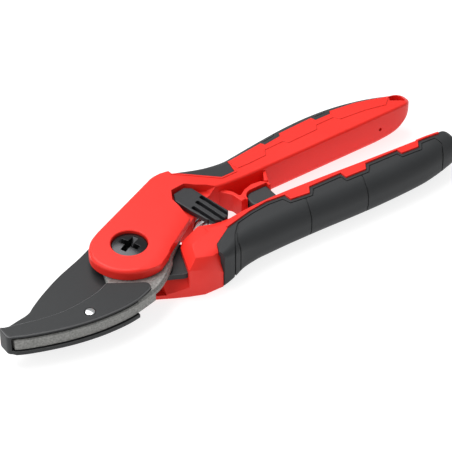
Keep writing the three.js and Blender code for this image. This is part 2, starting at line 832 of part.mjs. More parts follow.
// ---------------------------------------------------------------- return spring
// A coil between a seat in each handle. The seats are caps with a stub inside the coil.
function seat(face, towards) {
  const y0 = Math.min(face, face + towards * seatDisc);
  const y1 = Math.max(face, face + towards * seatDisc);
  const stub = face + towards * 4;
  const disc = barAlongY(seatRadius, y0, y1, springX, springZ);
  const core = barAlongY(
    springOuterRadius - springWire - 0.7,
    Math.min(face, stub),
    Math.max(face, stub),
    springX,
    springZ,
    20,
  );
  return disc.add(core);
}
addPiece("spring_seat_upper", seat(springUpperY, -1), brightSteel);
addPiece("spring_seat_lower", seat(springLowerY, 1), brightSteel);
class Coil extends THREE.Curve {
  getPoint(t, target = new THREE.Vector3()) {
    const from = springLowerY + seatDisc + springWire / 2 + slip;
    const to = springUpperY - seatDisc - springWire / 2 - slip;
    const middle = springOuterRadius - springWire / 2;
    const a = 2 * Math.PI * springTurns * t;
    return target.set(
      springX + middle * Math.cos(a),
      from + (to - from) * t,
      springZ + middle * Math.sin(a),
    );
  }
}
const wireSection = new THREE.Shape();
wireSection.absarc(0, 0, springWire / 2, 0, Math.PI * 2, false);
const coil = new THREE.ExtrudeGeometry(wireSection, {
  steps: 96,
  bevelEnabled: false,
  curveSegments: 3,
  extrudePath: new Coil(),
});
addPiece("return_spring", solid(coil), brightSteel);

// ---------------------------------------------------------------- lock lever
// Thumb lever on a pin in the upper head. Its nose lies in a notch of the lower head.
const leverTurn = THREE.MathUtils.degToRad(-80);
function leverOutline() {
  const w = leverHalfWidth;
  const raw = [
    [-4.7, -2.2],
    [-4.6, 2.1],
    [-2.6, 4.4],
    [0.6, 4.9],
    [leverReach - 4.6, w + 0.2],
    [leverReach - 0.9, w - 2.4],
    [leverReach, w - 6.2],
    [leverReach - 3.6, -w],
    [3.6, -w + 0.3],
    [-1.4, -4.8],
  ];
  return raw.map(([s, d]) => [
    leverPin.x + s * Math.cos(leverTurn) - d * Math.sin(leverTurn),
    leverPin.y + s * Math.sin(leverTurn) + d * Math.cos(leverTurn),
  ]);
}
let lever = bevelledSlab(polygon(leverOutline()), leverFloor, leverTop, 0.4);
const ribPitch = 2.9;
for (const i of [-1, 0, 1]) {
  const groove = new THREE.BoxGeometry(leverReach * 0.62, 1.3, 1.6);
  groove.translate(leverReach * 0.6 - i * 0.8, i * ribPitch + 0.2, leverTop);
  groove.rotateZ(leverTurn);
  lever = lever.subtract(solid(groove.translate(leverPin.x, leverPin.y, 0)));
}
const leverHole = bar(pinRadius + slip, leverFloor - 1, leverTop - 0.9, leverPin.x, leverPin.y, 16);
lever = lever.subtract(leverHole);
addPiece("lock_lever", lever, blackPlastic);
addPiece(
  "lever_pin",
  bar(pinRadius, leverPinFloor, leverTop - 1.1, leverPin.x, leverPin.y, 16),
  brightSteel,
);

// ---------------------------------------------------------------- origin
const box = new THREE.Box3().setFromObject(tool);
const middle = box.getCenter(new THREE.Vector3());
tool.position.set(-middle.x, -middle.y, -box.min.z);
const group = new THREE.Group();
group.add(tool);
export default group;
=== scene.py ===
import json
import math

import bmesh
import bpy
import numpy as np
from mathutils import Matrix, Vector


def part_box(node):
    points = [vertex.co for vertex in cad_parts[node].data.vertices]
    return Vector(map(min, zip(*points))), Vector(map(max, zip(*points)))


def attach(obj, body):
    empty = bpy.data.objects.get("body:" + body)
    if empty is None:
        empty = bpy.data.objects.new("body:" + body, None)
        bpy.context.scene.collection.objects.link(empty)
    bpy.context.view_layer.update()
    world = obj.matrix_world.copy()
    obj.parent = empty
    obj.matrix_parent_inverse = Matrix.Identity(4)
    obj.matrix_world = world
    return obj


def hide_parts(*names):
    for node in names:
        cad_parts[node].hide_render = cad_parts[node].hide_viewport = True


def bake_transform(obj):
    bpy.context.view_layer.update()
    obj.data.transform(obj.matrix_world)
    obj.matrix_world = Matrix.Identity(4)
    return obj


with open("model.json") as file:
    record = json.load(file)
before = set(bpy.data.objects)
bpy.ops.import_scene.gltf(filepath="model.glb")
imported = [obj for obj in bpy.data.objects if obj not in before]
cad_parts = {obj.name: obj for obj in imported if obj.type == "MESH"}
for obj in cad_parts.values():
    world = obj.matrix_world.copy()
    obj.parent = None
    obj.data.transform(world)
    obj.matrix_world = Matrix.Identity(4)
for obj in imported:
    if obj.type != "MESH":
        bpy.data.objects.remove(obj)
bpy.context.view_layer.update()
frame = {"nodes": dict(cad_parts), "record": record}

# ---------------------------------------------------------------- where the tool lies
# The shears lie closed on their side. Shapes are drawn in millimetres: x and y from the
# pivot, with the jaws on the -x side, and z up from the underside. The matrix to_tool puts
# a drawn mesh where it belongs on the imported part.
joints = {j["name"]: j for j in frame["record"]["behaviour"]["joints"]}
pivot = joints["handle_open"]["pos_m"]
to_tool = Matrix.Translation((pivot[0], pivot[1], 0)) @ Matrix.Scale(0.001, 4)


def drawn(location):
    """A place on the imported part, in the drawing's millimetres."""
    return to_tool.inverted() @ Vector(location)


def levels(node):
    """Floor and top of a node, in millimetres above the underside."""
    low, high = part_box(node)
    return low.z * 1000, high.z * 1000


# ---------------------------------------------------------------- counter-blade arm
# A plate pressed and sintered from steel powder: the jaw, a disc under the head and a
# tang that is moulded into the upper handle. A rib along its outer edge stands beside
# the blade. It is left bare, so it shows a grey, grainy face with chamfered edges.
arm_disc = 14.4
arm_hole = 3.2
rib_width = 3.6
arm_sheet = 2.6
rib_floor, arm_top = levels("anvil_arm")
arm_floor = arm_top - arm_sheet
jaw_inner = [(-60.3, -9.6), (-52.5, -11.8), (-46.6, -13.3), (-38.8, -14.4), (-31.2, -14.1),
             (-23.1, -12.8), (-17.2, -10.4)]
jaw_outer = [(5.5, -18.2), (1.3, -21.2), (-3.8, -23.5), (-12.5, -25.4), (-19.4, -26.1),
             (-29.4, -25.7), (-39.4, -24), (-48.1, -21.5), (-56.3, -18.5), (-60.3, -16.5)]


def flowing(points, steps=6):
    """A smooth line through the points."""
    line = []
    for i in range(len(points) - 1):
        a, b = np.array(points[max(i - 1, 0)]), np.array(points[i])
        c, d = np.array(points[i + 1]), np.array(points[min(i + 2, len(points) - 1)])
        for k in range(steps):
            t = k / steps
            line.append(tuple(0.5 * (2 * b + (c - a) * t + (2 * a - 5 * b + 4 * c - d) * t * t
                                     + (3 * b - a - 3 * c + d) * t ** 3)))
    return line + [tuple(points[-1])]


def arc(x, y, radius, start, end, steps=24):
    """Points along an arc, with its angles in degrees."""
    turns = [math.radians(start + (end - start) * k / steps) for k in range(steps + 1)]
    return [(x + radius * math.cos(a), y + radius * math.sin(a)) for a in turns]


def cornered(corners, steps=5):
    """A closed outline through corners (x, y, radius), each rounded by its radius."""
    line = []
    for i, (x, y, radius) in enumerate(corners):
        here = Vector((x, y))
        back = Vector(corners[i - 1][:2]) - here
        on = Vector(corners[(i + 1) % len(corners)][:2]) - here
        half = back.angle(on) / 2
        reach = min(radius / math.tan(half), 0.48 * back.length, 0.48 * on.length)
        if reach < 0.02:
            line.append((x, y))
            continue
        radius = reach * math.tan(half)
        centre = here + (back.normalized() + on.normalized()).normalized() * radius / math.sin(half)
        first, last = here + back.normalized() * reach - centre, here + on.normalized() * reach - centre
        start = math.atan2(first.y, first.x)
        turn = (math.atan2(last.y, last.x) - start + math.pi) % (2 * math.pi) - math.pi
        line += [(centre.x + radius * math.cos(start + turn * k / steps),
                  centre.y + radius * math.sin(start + turn * k / steps)) for k in range(steps + 1)]
    return line


def inset(outline, depth):
    """The outline moved inwards by depth, with mitred corners."""
    points = np.array(outline, float)
    area = np.sum(points[:, 0] * np.roll(points[:, 1], -1) - np.roll(points[:, 0], -1) * points[:, 1])
    edges = np.roll(points, -1, 0) - points
    inward = np.stack([-edges[:, 1], edges[:, 0]], 1) * math.copysign(1, area)
    inward /= np.maximum(np.linalg.norm(inward, axis=1, keepdims=True), 1e-9)
    before = np.roll(inward, 1, 0)
    mitre = (inward + before) / np.maximum(1 + np.sum(inward * before, 1, keepdims=True), 0.35)
    return points + mitre * depth


def mesh_piece(name, points, faces):
    """A new object with this mesh, its faces turned outwards."""
    mesh = bpy.data.meshes.new(name)
    mesh.from_pydata([tuple(map(float, p)) for p in points], [], faces)
    made = bmesh.new()
    made.from_mesh(mesh)
    bmesh.ops.remove_doubles(made, verts=made.verts, dist=1e-5)
    bmesh.ops.recalc_face_normals(made, faces=made.faces)
    made.to_mesh(mesh)
    made.free()
    obj = bpy.data.objects.new(name, mesh)
    bpy.context.scene.collection.objects.link(obj)
    return obj


def loft(name, rings):
    """A solid through closed rings of equal length."""
    count = len(rings[0])
    faces = [list(range(count))[::-1], [(len(rings) - 1) * count + i for i in range(count)]]
    for k in range(len(rings) - 1):
        for i in range(count):
            j = (i + 1) % count
            faces.append([k * count + i, k * count + j, (k + 1) * count + j, (k + 1) * count + i])
    return mesh_piece(name, [p for ring in rings for p in ring], faces)


def slab(name, outline, floor, top, low=0.0, high=0.0, steps=3):
    """An upright solid of an outline with rounded edges, or chamfered ones with one step."""
    turns = [math.pi / 2 * k / steps for k in range(steps + 1)]
    rings = [(floor, 0)]
    if low > 0:
        rings = [(floor + low * (1 - math.cos(a)), low * (1 - math.sin(a))) for a in turns]
    if high > 0:
        rings += [(top - high * (1 - math.sin(a)), high * (1 - math.cos(a))) for a in turns]
    else:
        rings.append((top, 0))
    return loft(name, [[(x, y, z) for x, y in inset(outline, depth)] for z, depth in rings])


def round_bar(name, radius, start, end, sides=40):
    """A straight round bar between two points."""
    start, end = Vector(start), Vector(end)
    spin = (end - start).to_track_quat("Z", "Y").to_matrix()
    turns = [2 * math.pi * k / sides for k in range(sides)]
    ring = [spin @ Vector((radius * math.cos(a), radius * math.sin(a), 0)) for a in turns]
    return loft(name, [[place + p for p in ring] for place in (start, end)])


def made_plain(obj):
    """Turns the object and its modifiers into one plain mesh."""
    view = bpy.context.evaluated_depsgraph_get()
    mesh = bpy.data.meshes.new_from_object(obj.evaluated_get(view))
    obj.modifiers.clear()
    obj.data = mesh
    return obj


def work(obj, operation, others):
    """Joins the others to the object, cuts them from it or keeps what they share."""
    for other in others:
        step = obj.modifiers.new("work", "BOOLEAN")
        step.operation = operation
        step.solver = "MANIFOLD"
        step.object = other
        made_plain(obj)
        bpy.data.objects.remove(other)
    return obj


def finished(obj, material, body, node, sharp=32):
    """Cleans the mesh, puts the piece on the tool and hands it to its body. It stands for a node."""
    made = bmesh.new()
    made.from_mesh(obj.data)
    bmesh.ops.remove_doubles(made, verts=made.verts, dist=0.002)
    bmesh.ops.dissolve_degenerate(made, edges=made.edges, dist=0.002)
    bmesh.ops.delete(made, geom=[edge for edge in made.edges if not edge.link_faces], context="EDGES")
    made.to_mesh(obj.data)
    made.free()
    obj.data.polygons.foreach_set("use_smooth", [True] * len(obj.data.polygons))
    obj.data.set_sharp_from_angle(angle=math.radians(sharp))
    obj.data.materials.clear()
    obj.data.materials.append(material)
    flat = obj.modifiers.new("flat faces", "WEIGHTED_NORMAL")
    flat.keep_sharp = True
    made_plain(obj)
    obj.data.transform(to_tool)
    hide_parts(node)
    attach(obj, body)
    return obj


def shader_group(name, inputs, outputs):
    """An empty shader node group with named inputs and outputs."""
    group = bpy.data.node_groups.new(name, "ShaderNodeTree")
    for label, kind, value in inputs:
        socket = group.interface.new_socket(label, in_out="INPUT", socket_type=kind)
        socket.default_value = value
    for label, kind in outputs:
        group.interface.new_socket(label, in_out="OUTPUT", socket_type=kind)
    return group, group.nodes.new("NodeGroupInput"), group.nodes.new("NodeGroupOutput")


def math_node(tree, operation, first, second):
    """A sum or product of two sockets or numbers."""
    node = tree.nodes.new("ShaderNodeMath")
    node.operation = operation
    for socket, value in zip(node.inputs, (first, second)):
        if hasattr(value, "links"):
            tree.links.new(value, socket)
        else:
            socket.default_value = value
    return node.outputs[0]


def grain_group():
    """Fine grain over the surface, with slow drifts of tone. Grain is in grains per metre."""
    group, given, out = shader_group("surface grain", [
        ("Grain", "NodeSocketFloat", 2500.0),
        ("Grain Share", "NodeSocketFloat", 0.3),
        ("Patches", "NodeSocketFloat", 60.0),
        ("First Colour", "NodeSocketColor", (0.5, 0.5, 0.5, 1)),
        ("Second Colour", "NodeSocketColor", (0.6, 0.6, 0.6, 1)),
        ("Roughness", "NodeSocketFloat", 0.5),
        ("Roughness Drift", "NodeSocketFloat", 0.08),
    ], [("Colour", "NodeSocketColor"), ("Roughness", "NodeSocketFloat"), ("Height", "NodeSocketFloat")])
    place = group.nodes.new("ShaderNodeTexCoord").outputs["Object"]
    fine = group.nodes.new("ShaderNodeTexNoise")
    fine.inputs["Detail"].default_value = 3
    slow = group.nodes.new("ShaderNodeTexNoise")
    slow.inputs["Detail"].default_value = 4
    for noise, scale in ((fine, "Grain"), (slow, "Patches")):
        group.links.new(place, noise.inputs["Vector"])
        group.links.new(given.outputs[scale], noise.inputs["Scale"])
    blend = group.nodes.new("ShaderNodeMix")
    blend.data_type = "RGBA"
    tone = group.nodes.new("ShaderNodeMix")
    group.links.new(given.outputs["Grain Share"], tone.inputs["Factor"])
    group.links.new(slow.outputs["Fac"], tone.inputs["A"])
    group.links.new(fine.outputs["Fac"], tone.inputs["B"])
    group.links.new(tone.outputs["Result"], blend.inputs["Factor"])
    group.links.new(given.outputs["First Colour"], blend.inputs["A"])
    group.links.new(given.outputs["Second Colour"], blend.inputs["B"])
    drift = math_node(group, "MULTIPLY", math_node(group, "SUBTRACT", slow.outputs["Fac"], 0.5),
                      given.outputs["Roughness Drift"])
    group.links.new(blend.outputs["Result"], out.inputs["Colour"])
    group.links.new(math_node(group, "ADD", given.outputs["Roughness"], drift), out.inputs["Roughness"])
    group.links.new(fine.outputs["Fac"], out.inputs["Height"])
    return group


surface_grain = grain_group()


def finish_material(name, first, second, roughness, grain, patches, bump, drift=0.08, metal=0.0,
                    specular=0.5, share=0.3, edge=0.0002):
    """A material of one finish: two close tones, grain, a drifting roughness and soft edges.
    Bump and edge are in metres, and grain and patches are in repeats per metre."""
    material = bpy.data.materials.new(name)
    material.use_nodes = True
    tree = material.node_tree
    shader = tree.nodes["Principled BSDF"]
    shader.inputs["Metallic"].default_value = metal
    shader.inputs["Specular IOR Level"].default_value = specular
    effect = tree.nodes.new("ShaderNodeGroup")
    effect.node_tree = surface_grain
    effect.inputs["Grain"].default_value = grain
    effect.inputs["Grain Share"].default_value = share
    effect.inputs["Patches"].default_value = patches
    effect.inputs["First Colour"].default_value = (*first, 1)
    effect.inputs["Second Colour"].default_value = (*second, 1)
    effect.inputs["Roughness"].default_value = roughness
    effect.inputs["Roughness Drift"].default_value = drift
    rounded = tree.nodes.new("ShaderNodeBevel")
    rounded.samples = 4
    rounded.inputs["Radius"].default_value = edge
    relief = tree.nodes.new("ShaderNodeBump")
    relief.inputs["Distance"].default_value = bump
    tree.links.new(rounded.outputs["Normal"], relief.inputs["Normal"])
    tree.links.new(effect.outputs["Height"], relief.inputs["Height"])
    tree.links.new(effect.outputs["Colour"], shader.inputs["Base Color"])
    tree.links.new(effect.outputs["Roughness"], shader.inputs["Roughness"])
    tree.links.new(relief.outputs["Normal"], shader.inputs["Normal"])
    return material


sintered_steel = finish_material("sintered steel", (0.02, 0.02, 0.02), (0.42, 0.42, 0.40), 0.5,
                                 1300, 200, 0.00016, drift=0.2, metal=0.4, share=0.85)

arm_neck = flowing([(-17.2, -10.4), (-15.6, -7.4), (-14.2, -3.4)], 4)
arm_throat = flowing([(11.6, -11.6), (9.8, -14.4), (5.5, -18.2)], 4)
arm_outline = (flowing(jaw_inner) + arm_neck[1:] + arc(0, 0, arm_disc, 194, 76, 26) + [(20, 6), (20, -4.6)]
               + arm_throat + flowing(jaw_outer)[1:])
tang = [(8, -4), (27, 3.2), (36, 8), (44, 12.2), (56, 13.4), (56, 18.2), (30, 20), (4, 12)]
rib_outer = flowing(jaw_outer[2:])
rib_outline = rib_outer + [(x, y + rib_width) for x, y in rib_outer[::-1]]
arm = slab("anvil_arm_plate", arm_outline, arm_floor, arm_top, low=0.5, high=0.85, steps=1)
work(arm, "UNION", [
    slab("tang", tang, arm_floor, arm_top, low=0.1, high=0.1),
    slab("rib", rib_outline, rib_floor, arm_floor + 0.5, low=0.2),
])
# a groove runs under the edge of the cover, so that a dark line shows between the two
seam = [(x, y + 0.5) for x, y in rib_outer[6:]]
seam_width = 1.2
rivet_hole = 2.1
rivet_x, rivet_y, _ = drawn(sum(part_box("cover_rivet"), Vector()) / 2)
work(arm, "DIFFERENCE", [
    round_bar("screw hole", arm_hole, (0, 0, 0), (0, 0, 20)),
    round_bar("rivet hole", rivet_hole, (rivet_x, rivet_y, 0), (rivet_x, rivet_y, 20)),
    slab("seam", seam + [(x, y + seam_width) for x, y in seam[::-1]], arm_top - 0.9, 20),
])
finished(arm, sintered_steel, "upper_handle", "anvil_arm")

# ---------------------------------------------------------------- cover of the arm
# One sheet with a dark low-friction coating, folded over the arm: a top plate with a
# rounded heel, an end wall at the tip and a foot under the rib. Its edges are rolled, and
# a painted highlight lightens the coating on their sloping faces.
jaw_reach = 62.5
cover_tip = -jaw_reach
cover_floor, cover_top = levels("anvil_cover")
foot_top = cover_floor + 2
cover_sheet = 0.9


def coating_with_painted_highlight(name, first, second, roughness, highlight_tone):
    """A dark coating on metal, with a painted highlight: a lighter tone on faces that slope where an edge
    rolls over.
    """
    material = finish_material(name, first, second, roughness, 2200, 90, 0.00002, metal=0.1, specular=0.3)
    tree = material.node_tree
    shader = tree.nodes["Principled BSDF"]
    # painted highlight: faces tilted about 10 to 70 degrees from level take the lighter tone, fullest between
    # 30 and 55, so the rolled edges look lit
    facing = tree.nodes.new("ShaderNodeSeparateXYZ")
    tree.links.new(tree.nodes.new("ShaderNodeNewGeometry").outputs["Normal"], facing.inputs[0])
    highlight_masks = []
    for start, end in ((0.985, 0.85), (0.35, 0.6)):
        share = tree.nodes.new("ShaderNodeMapRange")
        share.inputs["From Min"].default_value = start
        share.inputs["From Max"].default_value = end
        tree.links.new(facing.outputs["Z"], share.inputs["Value"])
        highlight_masks.append(share.outputs["Result"])
    highlight_tint = tree.nodes.new("ShaderNodeMix")
    highlight_tint.data_type = "RGBA"
    highlight_tint.inputs["B"].default_value = (*highlight_tone, 1)
    grain = [n for n in tree.nodes if n.type == "GROUP"][0]
    tree.links.new(grain.outputs["Colour"], highlight_tint.inputs["A"])
    tree.links.new(math_node(tree, "MULTIPLY", *highlight_masks), highlight_tint.inputs["Factor"])
    tree.links.new(highlight_tint.outputs["Result"], shader.inputs["Base Color"])
    return material


# the last colour is the tone of the painted highlight on the rolled edges
dark_coating = coating_with_painted_highlight("dark coating", (0.016, 0.017, 0.018), (0.026, 0.0275, 0.029),
                                0.45, (0.12, 0.122, 0.125))

heel = [(-9.7, -15.4), (-4.9, -18.4), (-4.1, -20.2), (-5.1, -22.3), (-7.8, -23.6)]
cover_outer = [(x, y + 0.3) for x, y in jaw_outer[3:]]
tip_corner = [(cover_tip + 1.2, -15.9), (cover_tip + 0.55, -15.4), (cover_tip + 0.15, -14.8),
              (cover_tip, -14)]
tip_back = [(cover_tip, -10.1), (cover_tip + 0.25, -9.2), (cover_tip + 0.9, -8.9)]
top_outline = (tip_back[-1:] + flowing(jaw_inner) + flowing(heel, 4) + flowing(cover_outer) + tip_corner
               + tip_back[:-1])
foot_outer = [(x, y - 0.7) for x, y in jaw_outer[3:]]
foot_inner = [(x, y + rib_width + 2.7) for x, y in jaw_outer[3:-1]]
foot_outline = flowing(foot_outer) + tip_corner + tip_back + flowing(foot_inner[::-1])
wall_outline = tip_corner + tip_back + [(cover_tip + 1.2, -8.9)]
cover = slab("anvil_cover_sheet", top_outline, cover_top - cover_sheet, cover_top, high=0.75, steps=4)
work(cover, "UNION", [
    slab("foot", foot_outline, cover_floor, foot_top, low=0.5, high=0.2),
    slab("wall", wall_outline, cover_floor + 0.3, cover_top - 0.35, low=0.3),
])
rivet_room = round_bar("rivet room", rivet_hole + 0.05, (rivet_x, rivet_y, 0), (rivet_x, rivet_y, 20))
work(cover, "DIFFERENCE", [rivet_room])
finished(cover, dark_coating, "upper_handle", "anvil_cover")

# ---------------------------------------------------------------- rivet of the cover
# A bright drawn steel rivet, set flush with the cover. Its head is slightly domed.
bright_steel = finish_material("bright steel", (0.62, 0.63, 0.64), (0.78, 0.79, 0.8), 0.2, 3000,
                               150, 0.00001, metal=1.0)


def turned(name, profile, x=0.0, y=0.0, sides=64):
    """A turned body about an upright axis, from the profile (radius, level)."""
    points, faces, rings = [], [], []
    for radius, z in profile:
        if radius < 1e-6:
            rings.append([len(points)] * sides)
            points.append((x, y, z))
        else:
            rings.append([len(points) + k for k in range(sides)])
            points += [(x + radius * math.cos(2 * math.pi * k / sides),
                        y + radius * math.sin(2 * math.pi * k / sides), z) for k in range(sides)]
    for lower, upper in zip(rings, rings[1:]):
        for k in range(sides):
            j = (k + 1) % sides
            corners = [lower[k], lower[j], upper[j], upper[k]]
            faces.append(list(dict.fromkeys(corners)))
    return mesh_piece(name, points, faces)


rivet_floor, rivet_top = levels("cover_rivet")
rivet = turned("cover_rivet_head", [
    (0, rivet_floor), (1.7, rivet_floor), (1.9, rivet_floor + 0.2), (1.9, rivet_top - 0.15),
    (1.8, rivet_top), (1.4, rivet_top + 0.12), (0.7, rivet_top + 0.2), (0, rivet_top + 0.22),
], rivet_x, rivet_y, 48)
finished(rivet, bright_steel, "upper_handle", "cover_rivet")

# ---------------------------------------------------------------- upper handle
# The red half that carries the arm: glass-filled plastic moulded over the tang. It has a
# rounded head over the arm, a recess for the lock lever, a bracket for the bumper and a
# slim bar with raised pads, a lip along the soft skin and a lanyard pocket at its end.
head_radius = 16.4
head_floor, head_top = 13.7, levels("upper_handle")[1]
upper_floor, upper_top = 1.2, 16.0
skin_depth = 2.2
handle_end = 145.3
upper_inner_line = [(30, 2), (42, 9), (50, 9.3), (133.8, 9.4), (140.4, 9.9), (143.6, 11), (handle_end, 12)]
upper_outer_line = [(30, 28.6), (34, 27.2), (38, 25.8), (47, 24.2), (56, 24.2), (64, 25.3), (79.4, 27.4),
                    (91.1, 28.6), (102.9, 29), (114.7, 28.2), (126.4, 25.9), (136.8, 22.4), (142, 20.4),
                    (handle_end, 18.6)]
upper_floor_line = [(126.4, upper_floor), (134, upper_floor + 0.8), (139, upper_floor + 2.6),
                    (handle_end, 9)]
upper_top_line = [(38, head_top), (44, head_top - 0.6), (52, 16.6), (60, upper_top + 0.1), (66, upper_top),
                  (132.3, upper_top), (139.7, upper_top - 0.4), (handle_end, upper_top - 1.4)]
upper_corner_line = [(34, 2), (46, 3.6), (60, 6)]
skin_border = [(35.8, 27.6), (36, 25), (51.6, 13.3), (58.2, 13.8), (59.5, 20.6), (76.9, 22.6),
               (77.8, 20.7), (85.8, 21.7), (86.6, 23.4), (103.1, 24.2), (103.8, 21.9), (111.1, 21.8),
               (112, 23.5), (124.2, 22), (138.2, 18)]
head_outline = (arc(0, 0, head_radius, 180, 284.4, 30) + [(9.4, -12.6), (12, -10.2), (36, 5.2), (38, 8)]
                + [(38, 27.6), (35, 28.2), (32.5, 28.6), (29.6, 28.4), (27.6, 27.9), (-6.5, 12.6)]
                + flowing([(-6.5, 12.6), (-11, 9.9), (-14.4, 6), (-16.1, 2), (-head_radius, 0)], 4)[1:-1])


def along(stations, x):
    """The value at x of a smooth line through the stations."""
    if x <= stations[0][0]:
        return stations[0][1]
    if x >= stations[-1][0]:
        return stations[-1][1]
    i = max(k for k in range(len(stations) - 1) if stations[k][0] <= x)
    last = len(stations) - 1

    def slope(j):
        a, b = stations[max(j - 1, 0)], stations[min(j + 1, last)]
        return (b[1] - a[1]) / (b[0] - a[0])

    (x0, y0), (x1, y1) = stations[i], stations[i + 1]
    t, w = (x - x0) / (x1 - x0), x1 - x0
    return ((1 + 2 * t) * (1 - t) ** 2 * y0 + t * (1 - t) ** 2 * w * slope(i) + t * t * (3 - 2 * t) * y1
            + t * t * (t - 1) * w * slope(i + 1))


def handle_bar(name, start, inner, outer, floor, top, side, corners, hollow, grow):
    """A bar along x, flat on its inner side, round on its outer side and domed at its end."""
    dome, step = 4.0, 1.4
    dome_turns = np.linspace(0, math.pi / 2 * 0.985, 12)
    stations = list(np.arange(start, handle_end - dome, step))
    stations += [handle_end - dome * (1 - math.sin(a)) for a in dome_turns]
    rings = []
    for x in stations:
        y0, y1 = along(inner, x) - side * grow, along(outer, x) + side * grow
        z0, z1 = along(floor, x) - grow, along(top, x) + grow
        r = max(0.4, min(along(corners, x) + grow, (z1 - z0) / 2.05, abs(y1 - y0) * 0.7))
        e = min(1.0, r)
        f = max(0.4, min(hollow + grow, (z1 - z0) / 2.2, abs(y1 - y0) * 0.3))
        rounds = ((y0 + side * f, z0 + f, f, 270), (y0 + side * e, z1 - e, e, 180),
                  (y1 - side * r, z1 - r, r, 90), (y1 - side * r, z0 + r, r, 0))
        ring = []
        for centre_y, centre_z, radius, first in rounds:
            for k in range(9):
                a = math.radians(first - 90 * k / 8)
                ring.append((centre_y + side * radius * math.cos(a), centre_z + radius * math.sin(a)))
        shrink = 1.0
        if x > handle_end - dome:
            shrink = 0.35 + 0.65 * math.sqrt(max(0.0, 1 - ((x - handle_end + dome) / dome) ** 2))
        middle_y, middle_z = (y0 + y1) / 2, (z0 + z1) / 2
        x += grow if x == stations[-1] else 0
        rings.append([(x, middle_y + (y - middle_y) * shrink, middle_z + (z - middle_z) * shrink)
                      for y, z in ring])
    return loft(name, rings)


def upper_bar(grow=0.0):
    """The bar of the upper handle, with its skin. Grow makes it thicker or thinner all round."""
    return handle_bar("upper_grip_skin", 34, upper_inner_line, upper_outer_line, upper_floor_line,
                      upper_top_line, 1, upper_corner_line, 3.2, grow)


def shifted(line, distance):
    """An open line moved sideways, to its left as it is drawn."""
    points = np.array(line, float)
    edges = points[1:] - points[:-1]
    left = np.stack([-edges[:, 1], edges[:, 0]], 1) / np.linalg.norm(edges, axis=1, keepdims=True)
    before, after = np.vstack([left[:1], left]), np.vstack([left, left[-1:]])
    mitre = (before + after) / np.maximum(1 + np.sum(before * after, 1, keepdims=True), 0.4)
    return [tuple(p) for p in points + mitre * distance]


def strip(line, near, far):
    """The closed outline of a strip beside an open line."""
    return shifted(line, near) + shifted(line, far)[::-1]


red_plastic = finish_material("red plastic", (0.80, 0.020, 0.012), (0.88, 0.030, 0.020), 0.42, 2600, 45,
                              0.00003, drift=0.12, specular=0.3, edge=0.0003)

upper = slab("upper_handle_shell", head_outline, head_floor - 2, head_top, high=1.5, steps=5)
over_arm = slab("over arm", [(-40, -40), (60, -40), (60, 60), (-40, 60)], head_floor, head_top + 1)
work(upper, "INTERSECT", [over_arm])
# a facet slopes down along the side of the head that faces the lower handle
facet_depth = 1.4
facet_high = [(30, 10), (22.6, 3.7), (12.1, -4.2), (8.5, -7.4), (4.1, -10.5), (-0.8, -13), (-6, -14.6),
              (-11, -14.2)]
facet_low = [(33.4, 4.6), (25.9, -1.4), (15.6, -9.2), (11.6, -12.6), (6.6, -16.2), (0.6, -19),
             (-6.4, -20.6), (-14, -20)]
facet = loft("facet", [[(*p, head_top), (*q, head_top - facet_depth), (*q, head_top + 2), (*p, head_top + 2)]
                       for p, q in zip(facet_high, facet_low)])
work(upper, "DIFFERENCE", [facet])
deep = cornered([(6.5, 17.9, 1), (30, 2.3, 2), (42, 9, 2), (46, 12, 1), (46, 24, 1), (35, 26.4, 1),
                 (28.4, 26.4, 2), (7.5, 18.6, 0.5)])
work(upper, "UNION", [slab("deep part", deep, upper_floor, head_floor + 1, low=0.6), upper_bar()])
upper_zone = skin_border + [(138.2, 40), (35.6, 40)]
skin_room = slab("skin room", upper_zone, -5, 30)
work(skin_room, "DIFFERENCE", [upper_bar(grow=-skin_depth - 0.1)])
work(upper, "DIFFERENCE", [skin_room])
# raised pads along the top and the lip beside the skin
pad_height, lip_height = 0.18, 0.2
pad_line = [(66.1, 14.7), (74.2, 15.1), (75.9, 18), (84.9, 18.3), (86.2, 16.3), (100.6, 16.7), (102.2, 19.1),
            (110.8, 19.2), (112.4, 16.7), (124.5, 15.6), (133.5, 13.6)]
pad_back = shifted(skin_border, -0.05)[::-1][:-4]
pads = slab("pads", pad_line + [(138, 17.8)] + pad_back + [(60, 20.2), (60.2, 14.7)], upper_top - 1, 25)
work(pads, "INTERSECT", [upper_bar(grow=pad_height)])
lip = slab("lip", strip(skin_border, -0.05, -0.8), -5, 30)
work(lip, "INTERSECT", [upper_bar(grow=lip_height)])
work(upper, "UNION", [pads, lip])
# bracket of the bumper: a thin arm, a cup round the back of the bumper and a gusset
bumper_low, bumper_high = (drawn(corner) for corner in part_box("bumper"))
left, right, back = bumper_low.x, bumper_high.x, bumper_high.y
cup_top = bumper_high.z + 1
cup_outline = cornered([(left - 2.3, -0.3, 0.2), (left - 1.9, back - 0.5, 0.8), (left + 2.1, back + 1.9, 1.5),
                        (left + 6.1, back + 3, 2), (right - 1, back + 2.4, 1.2), (right + 1.4, back, 0.6),
                        (right + 1.4, back - 1.6, 0.2), (right - 1, back - 1.6, 0), (left + 1, -0.3, 0)], 8)
cup_room = cornered([(left - 0.3, -9, 0), (right + 0.3, -9, 0), (right + 0.3, back + 0.3, 0.2),
                     (left - 0.3, back + 0.3, 4.2)], 8)
cup = slab("cup", cup_outline, bumper_low.z - 1, cup_top, low=0.3, high=0.3)
work(cup, "DIFFERENCE", [slab("cup room", cup_room, 0, 25)])
arm_wall = cornered([(46.8, 10.4, 0), (50.9, 4.8, 1), (51.6, -0.3, 0.2), (53.8, -0.3, 0.1), (54, 2.9, 0.5),
                     (52.9, 3.2, 0.5), (52.2, 6.2, 1), (49.4, 10.4, 0)])
gusset = [(right + 0.1, back + 1.4), (right + 1.3, back + 0.4), (70.6, 10.4), (69.2, 10.4)]
pocket_floor = [(49, 10.4), (52, 4), (left + 3, back + 1.6), (right, back + 1.4), (70, 10.4)]
